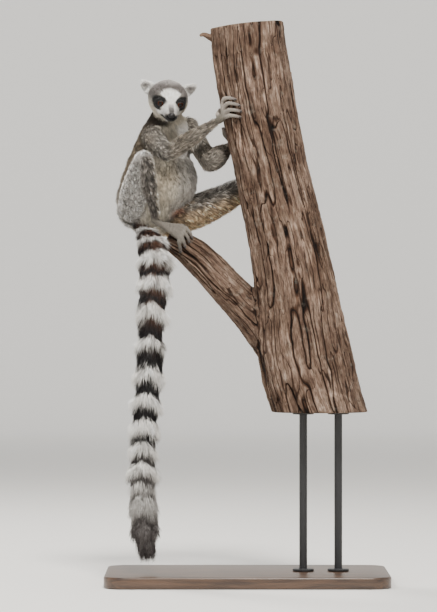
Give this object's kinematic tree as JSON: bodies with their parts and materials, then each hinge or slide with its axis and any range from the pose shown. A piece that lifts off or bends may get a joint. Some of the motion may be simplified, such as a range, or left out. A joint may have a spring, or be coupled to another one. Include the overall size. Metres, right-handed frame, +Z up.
{
  "type": "ring-tailed lemur model on a perch",
  "caption": "Life-size still model of a ring-tailed lemur clinging to a forked length of tree trunk, with its long banded tail hanging, on a display stand.",
  "frame": {"origin": "centre of the stand board's underside, on the floor", "axes": "+Z up, the trunk rises and leans to -X, the animal hangs on the trunk's -X side and looks towards -Y"},
  "size_m": [0.5, 0.3, 0.9929],
  "materials": {
    "coat": "soft fur, grey back, cream belly, black and white tail rings",
    "eye": "polished amber glass eye with a dark pupil",
    "nose": "bare black leathery nose pad",
    "bark": "rough fissured bark with pale sawn ends",
    "board": "dark stained and oiled hardwood board",
    "rod": "satin black painted steel rod"
  },
  "bodies": {
    "root": {"head": "coat", "nose": "nose", "ear_right": "coat", "eye_right": "eye", "ear_left": "coat", "eye_left": "eye", "neck": "coat", "chest": "coat", "abdomen": "coat", "rump": "coat", "upper_arm_right": "coat", "forearm_right": "coat", "hand_right": "coat", "thigh_right": "coat", "shin_right": "coat", "upper_arm_left": "coat", "forearm_left": "coat", "hand_left": "coat", "thigh_left": "coat", "shin_left": "coat", "foot_right": "coat", "foot_left": "coat", "tail_tip": "coat", "tail_lower": "coat", "tail_upper": "coat", "tail_base": "coat", "perch_trunk": "bark", "perch_branch": "bark", "stand_board": "board", "stand_rod_1": "rod", "stand_rod_2": "rod"}
  },
  "joints": []
}
